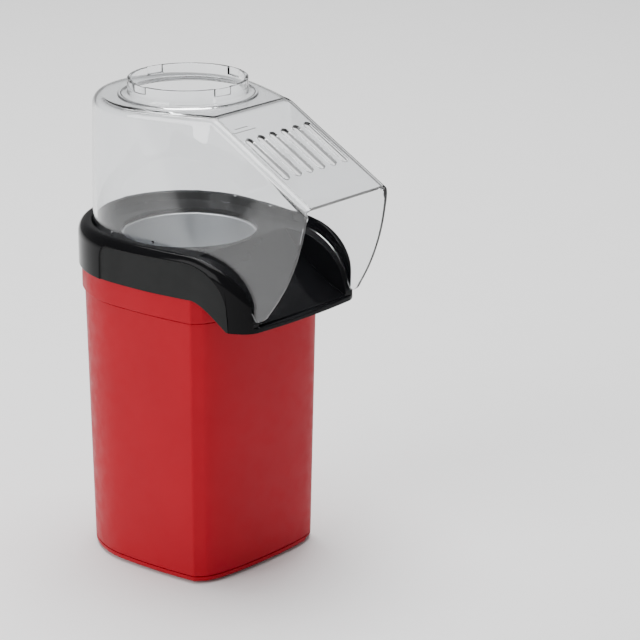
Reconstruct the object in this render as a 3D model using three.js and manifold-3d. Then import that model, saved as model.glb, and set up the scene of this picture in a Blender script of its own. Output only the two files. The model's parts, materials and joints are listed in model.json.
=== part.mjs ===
// A small hot-air popcorn maker: a moulded body with a motor, fan, heater and aluminium popping
// chamber inside, a collar with a chute on top of it, and a clear hood that lifts off.
// Millimetres, +Z up, the mouth of the hood towards -Y. The origin is on the surface that the machine
// stands on, under the middle of its overall box.
import * as THREE from "three";
import { mergeVertices } from "three/addons/utils/BufferGeometryUtils.js";
import Module from "manifold-3d";

const wasm = await Module();
wasm.setup();

// ---------------------------------------------------------------- driving sizes
// Plans are drawn round the centre of the machine's rounded back. A pair is [across or forward, up] or
// [across, forward], and "forward" runs towards the mouth.
const gap = 0.3; // between faces that touch or seat on each other

const footRise = 1.5; // how far the feet hold the base plate off the table
const basePlate = 3; // thickness of the base plate
const shellWall = 2.2; // wall of the body shell
const draft = 0.0003; // the body widens by this share for each millimetre of height
const body = { radius: 56, crease: [51.5, 55], nose: [43.5, 62.3], front: 65.5 };
const bodyTop = 165.5; // where the band under the collar starts
const bandStep = 1.5; // how far the band stands proud at the sides and back
const bandFade = 30; // the band sinks into the body between here and the crease

const collar = { radius: 62, hip: [56, 60], corner: [53.5, 94.5], lip: [39, 97.2], front: 99 };
const collarWall = 2.4;
const collarLow = 178; // lower edge of the collar at the sides
const collarFoot = 163; // lower edge of the collar under the chute
const skirtFall = [60, 83]; // the lower edge drops between these
const rimTop = 204; // top of the collar's rim, round the hood
const rimRound = 5; // rounding of the rim's outer edge
const rimFall = [54, 99.5]; // the rim curves down between these
const floorTop = 199; // floor inside the hood, and the ledge that the hood stands on
const floorThick = 3;
const ledgeFall = [56, 96];
const chute = { start: 49.5, dip: [68, 175], halfWidth: 37, wall: 2.4, lip: 2.2 };

const hoodWall = 2.2;
const hoodTop = 280.3; // top plane of the hood
const hoodRound = 5.5; // rounding of the hood's upper edges
const slopeStart = 56.8; // where the hood's top starts to fall
const mouth = { reach: 129.4, drop: 39, bulge: [126.5, 205], foot: [105.5, 176.2] };
const hoodTip = { low: [98, 170.3], heel: 2.8, toe: 4.5 }; // the rounded end of each side of the hood
const neck = { radius: 35.4, wall: 2.4, rise: 9.7, step: 5.5, stepHeight: 1.2 };
const notch = { count: 4, first: -10, depth: 1.1, width: 11, drop: 4.6 }; // for the lugs of a cap
const vent = { count: 6, pitch: 9.8, width: 4.6, length: 36, start: 21.6 };

const axisForward = 6; // the axis of the neck, chamber, heater, fan and motor
const chamber = { radius: 39.5, wall: 1, bottom: 118, flange: 3.7 };
const louvre = { count: 16, width: 1.6, height: 12, lean: 35, middle: 130 };
const airGap = 1.5; // between the chamber and the heat shield
const sheet = 0.8; // thickness of the sheet steel and mica
const shieldEar = { reach: 8.4, z: 185, screws: 3, inset: 3.4 };
const duct = { radius: 44, wall: 2, bottom: 56, top: 94, flange: 50, eye: 30, arm: 6 };
const motor = { radius: 14, bottom: 18, can: 1, endCap: 3.7, screwAt: 8.6 };
const shaftRadius = 1.5;
const fan = { radius: 36, blades: 10, eye: 19, bottom: 62, top: 78, plate: 1.4, hub: 4.6, lean: 32 };
const heater = { room: 8, height: 16, seat: 1.4 }; // room: between its plates and the shield
const coil = { wire: 0.9, turns: 6, pitch: 2.3, steps: 16, sides: 5 };
const screw = { shank: 1.2, head: 2.7, headHeight: 1.8, hole: 1.5, clearance: 1.6, slot: 0.8 };
const boss = 3.6; // radius of a screw boss
const rib = 5; // width of the rib that ties a boss to its wall
const foot = { radius: 6.2, recess: 1, x: 36, rear: 26, front: 46 };
const rocker = { width: 10.4, height: 15, tilt: 8, depth: 5, crown: 1.8 };
const switchBox = { width: 13, height: 19, depth: 15, flange: 1.3, rise: 2, z: 46 };
const gland = { radius: 4.2, bore: 3.1, flange: 6.2, inner: 5.4, thick: 1.5, z: 19 };
const grille = { slots: 9, pitch: 7.6, width: 3.6, radius: 36, ribAt: 12, rib: 2.4 };

// ---------------------------------------------------------------- sizes that follow from them
const bodyLow = footRise + basePlate + gap;
const bandTop = rimTop - 16; // the body's tongue ends inside the collar
const lugTop = collarLow - 2;
const chamberTop = floorTop - floorThick - gap;
const shieldRadius = chamber.radius + chamber.wall + airGap;
const shieldBottom = duct.top + gap;
const heaterHalf = shieldRadius - heater.room;
const heaterSeat = shieldBottom + sheet + gap;
const heaterBottom = heaterSeat + heater.seat + gap;
const coilRadius = (heaterHalf + gap) / Math.cos(Math.PI / coil.steps) + coil.wire;
const motorTop = duct.bottom - gap;
const widest = 2 * collar.radius + 40; // past everything on both sides
const mouthTop = [mouth.reach, hoodTop - mouth.drop]; // the mouth's upper edge
const neckTop = hoodTop + neck.rise;
const machineY = (mouth.reach - collar.radius) / 2; // puts the origin under the middle of the box

// ---------------------------------------------------------------- materials
function finish(color, roughness, metalness = 0) {
  return new THREE.MeshStandardMaterial({ color, roughness, metalness });
}
const red = finish(0xc1232b, 0.35);
const black = finish(0x17181a, 0.3);
const clear = new THREE.MeshStandardMaterial({
  color: 0xe8eef2, roughness: 0.05, transparent: true, opacity: 0.35,
});
const rubber = finish(0x1b1b1c, 0.85);
const aluminium = finish(0xc9ccd0, 0.35, 1);
const steel = finish(0xa9adb1, 0.4, 1);
const mica = finish(0xb9a06e, 0.6);
const nylon = finish(0xd8d4c8, 0.5);
const copper = finish(0xb4683a, 0.35, 1);
const resin = finish(0x2f6b3c, 0.5);
const brass = finish(0xc9a64b, 0.35, 1);

// ---------------------------------------------------------------- solids
function solidOf(geometry) {
  const bare = new THREE.BufferGeometry();
  bare.setAttribute("position", (geometry.index ? geometry.toNonIndexed() : geometry).getAttribute("position"));
  const merged = mergeVertices(bare, 1e-4);
  return new wasm.Manifold(new wasm.Mesh({
    numProp: 3,
    vertProperties: merged.attributes.position.array,
    triVerts: new Uint32Array(merged.index.array),
  }));
}

function geometryOf(solid) {
  const mesh = solid.getMesh();
  const geometry = new THREE.BufferGeometry();
  geometry.setAttribute("position", new THREE.BufferAttribute(new Float32Array(mesh.vertProperties), 3));
  geometry.setIndex(new THREE.BufferAttribute(new Uint32Array(mesh.triVerts), 1));
  const faceted = geometry.toNonIndexed();
  faceted.computeVertexNormals();
  return faceted;
}

const join = (...solids) => solids.reduce((all, one) => all.add(one));
const cut = (from, ...tools) => tools.reduce((left, tool) => left.subtract(tool), from);
const both = (...solids) => solids.reduce((all, one) => all.intersect(one));

// A closed surface through loops of equal length that run anticlockwise seen from the end they go to.
// The first loop and the last one are flat and get caps.
function loft(loops, outline) {
  const count = loops[0].length;
  const faces = [];
  for (let i = 0; i + 1 < loops.length; i++) {
    for (let j = 0; j < count; j++) {
      const low = i * count;
      const high = low + count;
      const k = (j + 1) % count;
      faces.push(low + j, low + k, high + k, low + j, high + k, high + j);
    }
  }
  const top = (loops.length - 1) * count;
  for (const [a, b, c] of THREE.ShapeUtils.triangulateShape(outline, [])) {
    faces.push(a, c, b, top + a, top + b, top + c);
  }
  const geometry = new THREE.BufferGeometry().setFromPoints(loops.flat());
  geometry.setIndex(faces);
  return solidOf(geometry);
}

// Loops of points over plans, each plan at a height that may depend on how far forward a point is.
function layered(layers) {
  const loops = layers.map(({ plan, z }) => plan.map((p) => {
    return new THREE.Vector3(p.x, p.y, typeof z === "function" ? z(-p.y) : z);
  }));
  return loft(loops, layers[0].plan);
}

const prism = (plan, low, high) => layered([{ plan, z: low }, { plan, z: high }]);

// Moves each side of a closed anticlockwise plan inwards by a distance, which may depend on the point.
function inset(plan, distance) {
  return plan.map((p, i) => {
    const before = plan[(i + plan.length - 1) % plan.length];
    const after = plan[(i + 1) % plan.length];
    const a = new THREE.Vector2(before.y - p.y, p.x - before.x).normalize();
    const b = new THREE.Vector2(p.y - after.y, after.x - p.x).normalize();
    const miter = a.add(b);
    const far = typeof distance === "function" ? distance(-p.y) : distance;
    return p.clone().addScaledVector(miter, (2 * far) / miter.lengthSq());
  });
}

// A solid swept sideways from an outline of [forward, up] points, to a half width on both sides.
function sideways(outline, halfWidth) {
  const shape = new THREE.Shape(outline.map(([forward, up]) => new THREE.Vector2(forward, up)));
  const geometry = new THREE.ExtrudeGeometry(shape, { depth: 2 * halfWidth, bevelEnabled: false });
  geometry.translate(0, 0, -halfWidth);
  return solidOf(geometry.applyMatrix4(new THREE.Matrix4().set(0, 0, -1, 0, -1, 0, 0, 0, 0, 1, 0, 0, 0, 0, 0, 1)));
}

// The number of sides of a round piece, which grows slowly with its radius.
const sidesOf = (radius) => 4 * Math.round(1 + 1.05 * Math.sqrt(radius));

function cylinder(radius, low, high, x = 0, y = 0) {
  const geometry = new THREE.CylinderGeometry(radius, radius, high - low, sidesOf(radius));
  return solidOf(geometry.rotateX(Math.PI / 2).translate(x, y, (low + high) / 2));
}

function block(width, depth, low, high, x = 0, y = 0) {
  return solidOf(new THREE.BoxGeometry(width, depth, high - low).translate(x, y, (low + high) / 2));
}

// A solid turned about the Z axis from [radius, height] points, which start and end on the axis or
// close on themselves.
function turned(profile) {
  const closed = profile[0][0] > 0 ? [...profile, profile[0]] : profile;
  const sides = sidesOf(Math.max(...profile.map(([r]) => r)));
  const geometry = new THREE.LatheGeometry(closed.map(([r, z]) => new THREE.Vector2(r, z)), sides);
  return solidOf(geometry.rotateX(Math.PI / 2));
}

// A curve that leaves a towards the corner and reaches b from it, as points with both ends.
function bend(a, corner, b, steps) {
  const ends = [a, corner, b].map(([x, y]) => new THREE.Vector2(x, y));
  return new THREE.QuadraticBezierCurve(...ends).getPoints(steps).map((p) => [p.x, p.y]);
}

function ringSpots(count, radius, first) {
  return Array.from({ length: count }, (_, i) => {
    const angle = THREE.MathUtils.degToRad(first + (i * 360) / count);
    return [radius * Math.cos(angle), radius * Math.sin(angle)];
  });
}

// ---------------------------------------------------------------- plans
// A half outline of [across, forward] points runs from the back to the front, and is mirrored.
function mirrored(half) {
  const left = half.map(([x, forward]) => new THREE.Vector2(-x, -forward));
  const right = half.slice(1, -1).reverse().map(([x, forward]) => new THREE.Vector2(x, -forward));
  return [...left, ...right];
}

function rearArc(radius, steps = 10) {
  return Array.from({ length: steps }, (_, i) => {
    const angle = (i / steps) * (Math.PI / 2);
    return [radius * Math.sin(angle), -radius * Math.cos(angle)];
  });
}

function bodyPlan(z, grow = 0) {
  const { radius, crease, nose, front } = body;
  const side = bend([radius, 0], [radius, crease[1] / 2], crease, 5);
  const face = bend(nose, [nose[0] / 2, front], [0, front], 4);
  const plan = mirrored([...rearArc(radius), ...side, ...face]);
  return inset(plan.map((p) => p.multiplyScalar(1 + draft * z)), -grow);
}

// The band stands proud round the back and fades out towards the crease.
function bandPlan(grow = 0) {
  const fade = (forward) => THREE.MathUtils.clamp((body.crease[1] - forward) / (body.crease[1] - bandFade), 0, 1);
  return inset(inset(bodyPlan(bodyTop), (forward) => -bandStep * fade(forward)), -grow);
}

function collarPlan(grow = 0) {
  const { radius, hip, corner, lip, front } = collar;
  const side = bend([radius, 0], [radius, hip[1] / 2], hip, 5);
  const turn = bend(hip, corner, lip, 6).slice(1);
  const face = bend(lip, [lip[0] / 2, front], [0, front], 3).slice(1);
  return inset(mirrored([...rearArc(radius), ...side, ...turn, ...face]), -grow);
}

// ---------------------------------------------------------------- side profiles of the collar
// An edge runs level from the back and then down a quarter of an ellipse to the foot at the front.
function fallingEdge(level, [start, end], footLevel, steps = 9) {
  const points = [];
  for (let i = 0; i <= steps; i++) {
    const angle = (i / steps) * (Math.PI / 2);
    points.push([start + (end - start) * Math.sin(angle), footLevel + (level - footLevel) * Math.cos(angle)]);
  }
  return points;
}

const rimEdge = fallingEdge(rimTop, rimFall, collarFoot + 3);
const ledgeEdge = fallingEdge(floorTop, ledgeFall, collarFoot + 3);
const chuteEdge = bend([chute.start, floorTop], chute.dip, [collar.front + 1, collarFoot + chute.lip], 6);
const skirtEdge = bend([skirtFall[0], collarLow], [skirtFall[0] + 9, collarLow - 1], [skirtFall[1], collarFoot], 4);

const backwards = -2 * collar.radius;
const forwards = mouthTop[0] + collar.radius;
const upwards = 2 * hoodTop;
const raised = (edge, by) => edge.map(([forward, z]) => [forward, z + by]);

function above(edge) {
  const level = [[backwards, edge[0][1]], ...edge, [forwards, edge.at(-1)[1]]];
  return sideways([...level, [forwards, upwards], [backwards, upwards]], widest / 2);
}

function below(edge, halfWidth = widest / 2, back = backwards) {
  const level = [[back, edge[0][1]], ...edge, [forwards, edge.at(-1)[1]]];
  return sideways([[back, -upwards], [forwards, -upwards], ...level.reverse()], halfWidth);
}

// The height of a falling edge at a place.
function edgeHeight(level, [start, end], footLevel, forward) {
  const share = THREE.MathUtils.clamp((forward - start) / (end - start), 0, 1);
  return footLevel + (level - footLevel) * Math.sqrt(1 - share * share);
}

// ---------------------------------------------------------------- the scene graph
const group = new THREE.Group();
const machine = new THREE.Group();
machine.position.y = machineY;
const core = new THREE.Group(); // everything on the axis of the chamber and motor
core.position.y = -axisForward;
machine.add(core);
group.add(machine);

function place(parent, name, solid, material, [x, y, z] = [0, 0, 0]) {
  const mesh = new THREE.Mesh(geometryOf(solid), material);
  mesh.name = name;
  mesh.position.set(x, y, z);
  parent.add(mesh);
  return mesh;
}

// ---------------------------------------------------------------- screws
function screwSolid(length) {
  const { shank, head, headHeight, slot } = screw;
  const top = length + headHeight;
  const profile = [[0, 0], [shank, 0], [shank, length], [head, length], [head * 0.85, top], [0, top]];
  return cut(turned(profile), block(slot, 3 * head, top - headHeight / 2, top + 1));
}

// Screws whose heads bear at z. They point down, or up when they are driven from below.
function addScrews(parent, name, spots, z, length, fromBelow = false) {
  const solid = screwSolid(length);
  spots.forEach(([x, y], i) => {
    const mesh = place(parent, name + "_" + (i + 1), solid, steel, [x, y, fromBelow ? z + length : z - length]);
    if (fromBelow) mesh.rotation.x = Math.PI;
  });
}

// ---------------------------------------------------------------- body shell and base plate
const rearBoss = body.radius - shellWall - boss + 1.2; // how far out the rear bosses stand
const frontBoss = [body.crease[0] - shellWall - boss + 1, body.crease[1] - boss - 1.5];
const diagonal = rearBoss * Math.SQRT1_2;
const bossSpots = [[-diagonal, diagonal], [diagonal, diagonal], [-frontBoss[0], -frontBoss[1]], [frontBoss[0], -frontBoss[1]]];
const bossHeight = 12;
const screwSeat = footRise + basePlate - 1.1;
const baseScrewLength = bossHeight - 1;
const collarScrewLength = 13;

// A round boss with a rib that runs outwards from it, to be trimmed to the wall that it joins.
function ribbedBoss([x, y], radius, low, high) {
  const outwards = new THREE.Vector2(x, y).normalize().multiplyScalar(2 * boss);
  const web = new THREE.BoxGeometry(4 * boss, rib, high - low);
  web.rotateZ(Math.atan2(y, x)).translate(x + outwards.x, y + outwards.y, (low + high) / 2);
  return join(cylinder(radius, low, high, x, y), solidOf(web));
}

function bodySolid() {
  const skirtLine = below(raised(skirtEdge, -gap));
  const wall = layered([{ plan: bodyPlan(bodyLow), z: bodyLow }, { plan: bodyPlan(bodyTop), z: bodyTop }]);
  const band = both(prism(bandPlan(), bodyTop - bandStep, bandTop), skirtLine);
  const tongue = both(prism(bandPlan(), bodyTop, bandTop), prism(collarPlan(-collarWall - gap), bodyTop, bandTop));
  const chamfer = layered([
    { plan: bodyPlan(bodyTop), z: bodyTop - 3 * bandStep }, { plan: bandPlan(), z: bodyTop - bandStep + gap },
  ]);
  const outer = join(wall, chamfer, band, tongue);
  const inner = layered([{ plan: bodyPlan(0, -shellWall), z: -1 }, { plan: bodyPlan(bodyTop, -shellWall), z: bodyTop }]);
  const throat = both(prism(bandPlan(-shellWall), bodyTop - gap, bandTop + 1),
    prism(collarPlan(-collarWall - gap - shellWall), bodyTop - gap, bandTop + 1));
  let shell = cut(outer, inner, throat);
  for (const spot of bossSpots) {
    const post = both(ribbedBoss(spot, boss, bodyLow, bodyLow + bossHeight), outer);
    shell = cut(join(shell, post), cylinder(screw.hole, 0, bodyLow + bossHeight - 1, ...spot));
  }
  for (const spot of bossSpots) {
    const lug = both(ribbedBoss(spot, boss + 1, lugTop - 3, lugTop), outer);
    shell = cut(join(shell, lug), cylinder(screw.clearance, lugTop - 10, lugTop + 10, ...spot));
  }
  const rear = body.radius * (1 + draft * bodyTop);
  const { width, height, z } = switchBox;
  const window = block(width + 2 * gap, rear, z - height / 2 - gap, z + height / 2 + gap, 0, rear);
  const cable = new THREE.CylinderGeometry(gland.radius + gap, gland.radius + gap, rear, sidesOf(gland.radius));
  const chuteRoom = above(raised(chuteEdge, -floorThick * 1.3 - gap));
  return cut(shell, window, solidOf(cable.translate(0, rear, gland.z)), chuteRoom);
}

const footSpots = [[-foot.x, foot.rear], [foot.x, foot.rear], [-foot.x, -foot.front], [foot.x, -foot.front]];

function intakeSlots() {
  const middle = -axisForward;
  const slots = [];
  for (let i = 0; i < grille.slots; i++) {
    const x = (i - (grille.slots - 1) / 2) * grille.pitch;
    const run = 2 * Math.sqrt(grille.radius ** 2 - x * x);
    slots.push(block(grille.width, run, 0, bodyLow + 1, x, middle));
  }
  const ribs = [-grille.ribAt, grille.ribAt].map((y) => block(widest, grille.rib, 0, bodyLow + 1, 0, middle + y));
  return cut(join(...slots), ...ribs);
}

function basePlateSolid() {
  const high = footRise + basePlate;
  const bevel = 0.9;
  const plate = layered([
    { plan: bodyPlan(0, -bevel), z: footRise }, { plan: bodyPlan(0), z: footRise + bevel }, { plan: bodyPlan(0), z: high },
  ]);
  const rimOut = bodyPlan(0, -shellWall - gap);
  const rim = cut(prism(rimOut, high - 1, high + basePlate), prism(inset(rimOut, 1.8), high - 2, high + 2 * basePlate));
  let base = join(plate, rim);
  for (const spot of bossSpots) {
    base = cut(base, cylinder(boss + 2, high, bodyLow + basePlate, ...spot));
    base = cut(base, cylinder(screw.clearance, 0, high + 1, ...spot));
    base = cut(base, cylinder(screw.head + gap, 0, screwSeat, ...spot));
  }
  for (const spot of footSpots) base = cut(base, cylinder(foot.radius + gap, 0, footRise + foot.recess, ...spot));
  const relief = block(20, 9, 0, footRise + 2.1, body.nose[0] + 5, -body.nose[1] - 1);
  return cut(base, intakeSlots(), relief);
}

function footSolid() {
  const top = footRise + foot.recess - gap;
  return turned([[0, 0], [foot.radius - 0.8, 0], [foot.radius, 0.8], [foot.radius, top], [0, top]]);
}

place(machine, "body_shell", bodySolid(), red);
place(machine, "base_plate", basePlateSolid(), red);
footSpots.forEach(([x, y], i) => place(machine, "rubber_foot_" + (i + 1), footSolid(), rubber, [x, y, 0]));
addScrews(machine, "base_screw", bossSpots, screwSeat - gap, baseScrewLength, true);

// ---------------------------------------------------------------- hood
// Half widths of the hood along its length, at its top and at the level of the mouth's foot.
const hoodStations = [
  { forward: 0, top: 51.6, low: 53.6 },
  { forward: 12, top: 49.6, low: 53.4 },
  { forward: 25, top: 45.6, low: 53 },
  { forward: 42, top: 39.6, low: 52.2 },
  { forward: slopeStart, top: 34.4, low: 50.6 },
  { forward: 75, top: 34.4, low: 47.6 },
  { forward: 100.5, top: 34.7, low: 41.6 },
  { forward: mouthTop[0], top: 35, low: 38 },
  { forward: mouthTop[0] + 12, top: 35, low: 37.5 },
];
const hoodLow = collarFoot; // the level that the lower widths are given at
const slopeFall = (mouthTop[1] - hoodTop) / (mouthTop[0] - slopeStart);
const slopeAngle = Math.atan(slopeFall);

function hoodCrest(forward) {
  return hoodTop + Math.max(0, forward - slopeStart) * slopeFall;
}

// The hood's plan at a share of the way down from its top, grown or shrunk all round.
function hoodPlan(down, grow = 0) {
  const half = hoodStations.map((s) => [s.top + (s.low - s.top) * down ** 0.7, s.forward]);
  const front = [0, half.at(-1)[1]];
  return inset(mirrored([...rearArc(half[0][0]), ...half, front]), -grow);
}

// The hood's bulk, without its openings, shrunk by a distance on every side.
function hoodBulk(shrink) {
  const round = hoodRound - shrink;
  const at = (down) => (forward) => hoodLow + (hoodCrest(forward) - shrink - round - hoodLow) * (1 - down);
  const layers = [{ plan: hoodPlan(1, -shrink), z: hoodLow - 5 }];
  for (const down of [0.6, 0.25, 0.05, 0]) layers.push({ plan: hoodPlan(down, -shrink), z: at(down) });
  for (const turn of [45, 85]) {
    const angle = THREE.MathUtils.degToRad(turn);
    const rise = round * Math.sin(angle) - round - shrink;
    const plan = hoodPlan(0, -shrink - round * (1 - Math.cos(angle)));
    layers.push({ plan, z: (forward) => hoodCrest(forward) + rise });
  }
  layers.push({ plan: layers.at(-1).plan, z: hoodTop + 10 });
  const roofDrop = shrink * Math.hypot(1, slopeFall);
  const roof = [[slopeStart, hoodTop - shrink], [forwards, hoodCrest(forwards) - roofDrop]];
  return both(layered(layers), below(roof));
}

function hoodProfile() {
  const { low, heel, toe } = hoodTip;
  const lower = raised(ledgeEdge, gap).slice(0, -2);
  const back = bend(lower.at(-1), [lower.at(-1)[0] + heel, low[1]], low, 4).slice(1);
  const tip = [...back, ...bend(low, [low[0] + toe, low[1]], mouth.foot, 4).slice(1)];
  const opening = bend(mouth.foot, mouth.bulge, mouthTop, 7).slice(1);
  return [[backwards, floorTop + gap], ...lower, ...tip, ...opening, [mouthTop[0], upwards], [backwards, upwards]];
}

function ventSlot(i) {
  const { count, pitch, width, length, start } = vent;
  const half = (length - width) / 2;
  const shape = new THREE.Shape();
  shape.absarc(0, -half, width / 2, Math.PI, 2 * Math.PI, false);
  shape.absarc(0, half, width / 2, 0, Math.PI, false);
  const tool = new THREE.ExtrudeGeometry(shape, { depth: 20, bevelEnabled: false, curveSegments: 5 });
  const forward = slopeStart + (start + length / 2) * Math.cos(slopeAngle);
  tool.translate(0, 0, -10).rotateX(-slopeAngle);
  return solidOf(tool.translate((i - (count - 1) / 2) * pitch, -forward, hoodCrest(forward)));
}

// A notch inside the neck's rim.
function neckNotch(i) {
  const { count, first, depth, width, drop } = notch;
  const tool = new THREE.BoxGeometry(2 * depth, width, drop + 1);
  tool.translate(neck.radius - neck.wall, 0, neckTop + 1 - (drop + 1) / 2);
  return solidOf(tool.rotateZ(THREE.MathUtils.degToRad(first + (i * 360) / count)));
}

function hoodSolid() {
  const shell = cut(both(hoodBulk(0), sideways(hoodProfile(), widest / 2)), hoodBulk(hoodWall));
  const ring = turned([
    [neck.radius - neck.wall, hoodTop - hoodWall], [neck.radius + neck.step, hoodTop - hoodWall],
    [neck.radius + neck.step, hoodTop + neck.stepHeight], [neck.radius, hoodTop + neck.stepHeight],
    [neck.radius, neckTop], [neck.radius - neck.wall, neckTop],
  ]);
  const notches = Array.from({ length: notch.count }, (_, i) => neckNotch(i));
  const bore = cylinder(neck.radius - neck.wall, hoodTop - 2 * hoodWall, upwards);
  const onAxis = [0, -axisForward, 0];
  const made = join(cut(shell, bore.translate(onAxis)), cut(ring, ...notches).translate(onAxis));
  return cut(made, ...Array.from({ length: vent.count }, (_, i) => ventSlot(i)));
}

// ---------------------------------------------------------------- collar with floor and chute
const shieldSpots = ringSpots(shieldEar.screws, shieldRadius + sheet + shieldEar.reach - shieldEar.inset, 90);

function collarBulk() {
  const rim = (forward) => edgeHeight(rimTop, rimFall, collarFoot + 3, forward);
  const layers = [{ plan: collarPlan(), z: collarFoot }];
  for (const turn of [0, 30, 60, 85]) {
    const angle = THREE.MathUtils.degToRad(turn);
    const share = 1 - (rimRound * 1.5 * (1 - Math.sin(angle))) / (rimTop - collarFoot);
    const plan = collarPlan(-rimRound * (1 - Math.cos(angle)));
    layers.push({ plan, z: (forward) => collarFoot + 0.5 + (rim(forward) - collarFoot) * share });
  }
  layers.push({ plan: layers.at(-1).plan, z: rimTop + 5 });
  return both(layered(layers), below(rimEdge), above(skirtEdge));
}

function collarSolid() {
  const { start, halfWidth, wall } = chute;
  const inFront = (half, from) => block(2 * half, forwards, 0, upwards, 0, -from - forwards / 2);
  const seat = both(prism(hoodPlan(1, gap), 0, upwards), above(ledgeEdge));
  const channel = both(above(chuteEdge), inFront(halfWidth, start), prism(hoodPlan(1, gap), 0, upwards));
  const inside = prism(collarPlan(-collarWall), 0, upwards);
  const chuteBelow = both(below(raised(chuteEdge, -floorThick * 1.25)), inFront(halfWidth + wall, start));
  const ledgeBelow = cut(below(raised(ledgeEdge, -floorThick)), inFront(halfWidth + wall, start));
  let made = cut(collarBulk(), seat, channel, both(inside, join(chuteBelow, ledgeBelow)));
  made = cut(made, cylinder(chamber.radius + 1, 0, upwards, 0, -axisForward));
  for (const spot of bossSpots) {
    const post = cylinder(boss, lugTop + gap, floorTop - 1, ...spot);
    made = join(made, cut(post, cylinder(screw.hole, 0, lugTop + collarScrewLength, ...spot)));
  }
  for (const [x, y] of shieldSpots) {
    const post = cylinder(boss - 0.4, shieldEar.z + sheet + gap, floorTop - 1, x, y - axisForward);
    made = join(made, cut(post, cylinder(screw.hole, 0, shieldEar.z + 9, x, y - axisForward)));
  }
  return made;
}

place(machine, "top_collar", collarSolid(), black);
addScrews(machine, "collar_screw", bossSpots, lugTop - 3 - gap, collarScrewLength, true);
place(machine, "hood", hoodSolid(), clear);

// ---------------------------------------------------------------- popping chamber and heat shield
const ductSpots = ringSpots(3, (duct.radius + duct.wall + duct.flange) / 2, 30);

function chamberSolid() {
  const { radius, wall, bottom, flange } = chamber;
  const waist = radius * 0.55;
  const edge = radius + flange;
  let cup = turned([
    [0, bottom + 5], [waist, bottom + 1.5], [radius - 3, bottom], [radius + wall, bottom + 3],
    [radius + wall, chamberTop - wall], [edge, chamberTop - wall], [edge, chamberTop], [radius, chamberTop],
    [radius, bottom + 4], [radius - 3.5, bottom + wall], [waist, bottom + 1.5 + wall], [0, bottom + 5 + wall],
  ]);
  for (const [x, y] of ringSpots(louvre.count, radius, 0)) {
    const slit = new THREE.BoxGeometry(8, louvre.width, louvre.height);
    slit.rotateX(THREE.MathUtils.degToRad(louvre.lean)).rotateZ(Math.atan2(y, x));
    cup = cut(cup, solidOf(slit.translate(x, y, louvre.middle)));
  }
  return cup;
}

function shieldSolid() {
  const inner = shieldRadius;
  const outer = shieldRadius + sheet;
  const ear = outer + shieldEar.reach;
  const throat = heaterHalf - 3;
  const top = chamberTop - chamber.wall - gap;
  const tube = turned([
    [throat, shieldBottom], [duct.flange, shieldBottom], [duct.flange, shieldBottom + sheet],
    [outer, shieldBottom + sheet], [outer, shieldEar.z], [ear, shieldEar.z], [ear, shieldEar.z + sheet],
    [outer, shieldEar.z + sheet], [outer, top], [inner, top], [inner, shieldBottom + sheet],
    [throat, shieldBottom + sheet],
  ]);
  const holes = [...shieldSpots, ...ductSpots].map((spot) => cylinder(screw.clearance, 0, upwards, ...spot));
  const corners = bossSpots.map(([x, y]) => cylinder(boss + 1, 0, upwards, x, y + axisForward));
  return cut(tube, ...holes, ...corners);
}

place(core, "popping_chamber", chamberSolid(), aluminium);
place(core, "heat_shield", shieldSolid(), steel);
addScrews(core, "shield_screw", shieldSpots, shieldEar.z - gap, 8, true);

// ---------------------------------------------------------------- heater
// One of two crossed plates, each slotted halfway so that they slide into one another.
function heaterPlate(slotFromTop) {
  const { height } = heater;
  const half = heaterBottom + height / 2;
  const plate = block(2 * heaterHalf, sheet, heaterBottom, heaterBottom + height);
  const slot = slotFromTop
    ? block(sheet + 2 * gap, 4, half - gap, half + height)
    : block(sheet + 2 * gap, 4, half - height, half + gap);
  return cut(plate, slot);
}

// A wire wound round the Z axis, with flat ends.
function coilSolid() {
  const { steps, sides } = coil;
  const loops = [];
  for (let i = 0; i <= coil.turns * steps; i++) {
    const turn = (i / steps) * 2 * Math.PI;
    const loop = [];
    for (let k = 0; k < sides; k++) {
      const angle = (-k / sides) * 2 * Math.PI;
      const radius = coilRadius + coil.wire * Math.cos(angle);
      const z = (i / steps) * coil.pitch + coil.wire * Math.sin(angle);
      loop.push(new THREE.Vector3(radius * Math.cos(turn), radius * Math.sin(turn), z));
    }
    loops.push(loop);
  }
  const outline = loops[0].map((_, k) => {
    const angle = (k / sides) * 2 * Math.PI;
    return new THREE.Vector2(Math.cos(angle), Math.sin(angle));
  });
  return loft(loops, outline);
}

function thermostatSolid() {
  const tab = (y) => block(6.3, sheet, 4, 12, 0, y);
  return join(cylinder(8, 0, 5), cylinder(9.5, 0, 1.2), tab(4.5), tab(-4.5));
}

const seatRing = turned([
  [heaterHalf - 3, heaterSeat], [shieldRadius - 1, heaterSeat],
  [shieldRadius - 1, heaterSeat + heater.seat], [heaterHalf - 3, heaterSeat + heater.seat],
]);
place(core, "heater_seat_ring", seatRing, mica);
place(core, "heater_plate_lower", heaterPlate(true), mica);
place(core, "heater_plate_upper", heaterPlate(false), mica).rotation.z = Math.PI / 2;
place(core, "heater_coil", coilSolid(), copper, [0, 0, heaterBottom + coil.wire + 0.6]);
const fuse = { radius: 2, length: 9, x: 16 };
const fuseSolid = solidOf(new THREE.CylinderGeometry(fuse.radius, fuse.radius, fuse.length, sidesOf(fuse.radius)).rotateZ(Math.PI / 2));
place(core, "thermal_fuse", fuseSolid, steel, [fuse.x, sheet / 2 + fuse.radius + gap, heaterBottom + 11]);
const thermostatAt = [0, shieldRadius + sheet + gap, 152];
place(core, "thermostat", thermostatSolid(), brass, thermostatAt).rotation.x = -Math.PI / 2;

// ---------------------------------------------------------------- fan housing and fan
const motorSpots = [[-motor.screwAt, 0], [motor.screwAt, 0]];

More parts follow.
